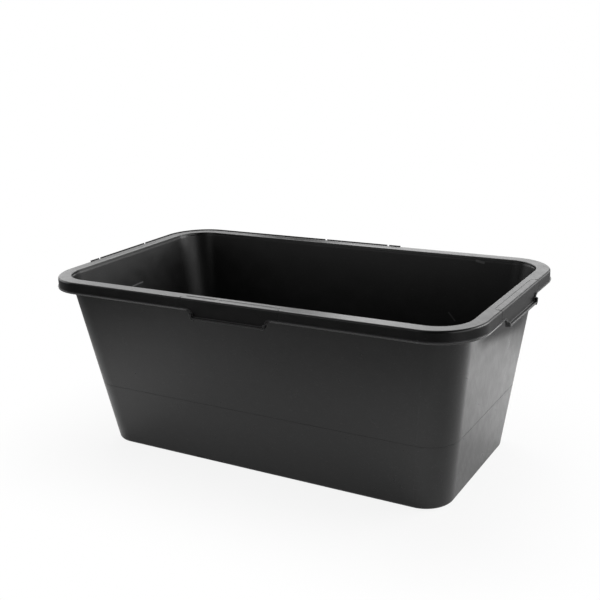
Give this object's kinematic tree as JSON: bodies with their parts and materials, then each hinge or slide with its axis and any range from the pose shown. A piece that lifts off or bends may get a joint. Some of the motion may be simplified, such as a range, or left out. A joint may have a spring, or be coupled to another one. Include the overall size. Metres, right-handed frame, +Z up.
{
  "type": "cement tub",
  "caption": "Open rectangular mixing tub with leaning walls, wide rounded corners, a flanged rim with a hanging skirt, and a dropped hand grip in the middle of every side.",
  "frame": {"origin": "middle of the underside, on the surface that the tub stands on", "axes": "+X along the length, +Y to the rear, +Z up"},
  "size_m": [0.7916, 0.4536, 0.3144],
  "materials": {
    "black_polyethylene": "satin moulded black polyethylene, slightly glossy on the rim"
  },
  "bodies": {
    "root": {"floor_panel": "black_polyethylene", "front_wall": "black_polyethylene", "rear_wall": "black_polyethylene", "right_end_wall": "black_polyethylene", "left_end_wall": "black_polyethylene", "front_left_wall_corner": "black_polyethylene", "front_right_wall_corner": "black_polyethylene", "rear_left_wall_corner": "black_polyethylene", "rear_right_wall_corner": "black_polyethylene", "front_left_rim_corner": "black_polyethylene", "front_right_rim_corner": "black_polyethylene", "rear_left_rim_corner": "black_polyethylene", "rear_right_rim_corner": "black_polyethylene", "front_grip": "black_polyethylene", "front_rim_left_run": "black_polyethylene", "front_rim_right_run": "black_polyethylene", "right_grip": "black_polyethylene", "right_rim_left_run": "black_polyethylene", "right_rim_right_run": "black_polyethylene", "rear_grip": "black_polyethylene", "rear_rim_left_run": "black_polyethylene", "rear_rim_right_run": "black_polyethylene", "left_grip": "black_polyethylene", "left_rim_left_run": "black_polyethylene", "left_rim_right_run": "black_polyethylene"}
  },
  "joints": []
}
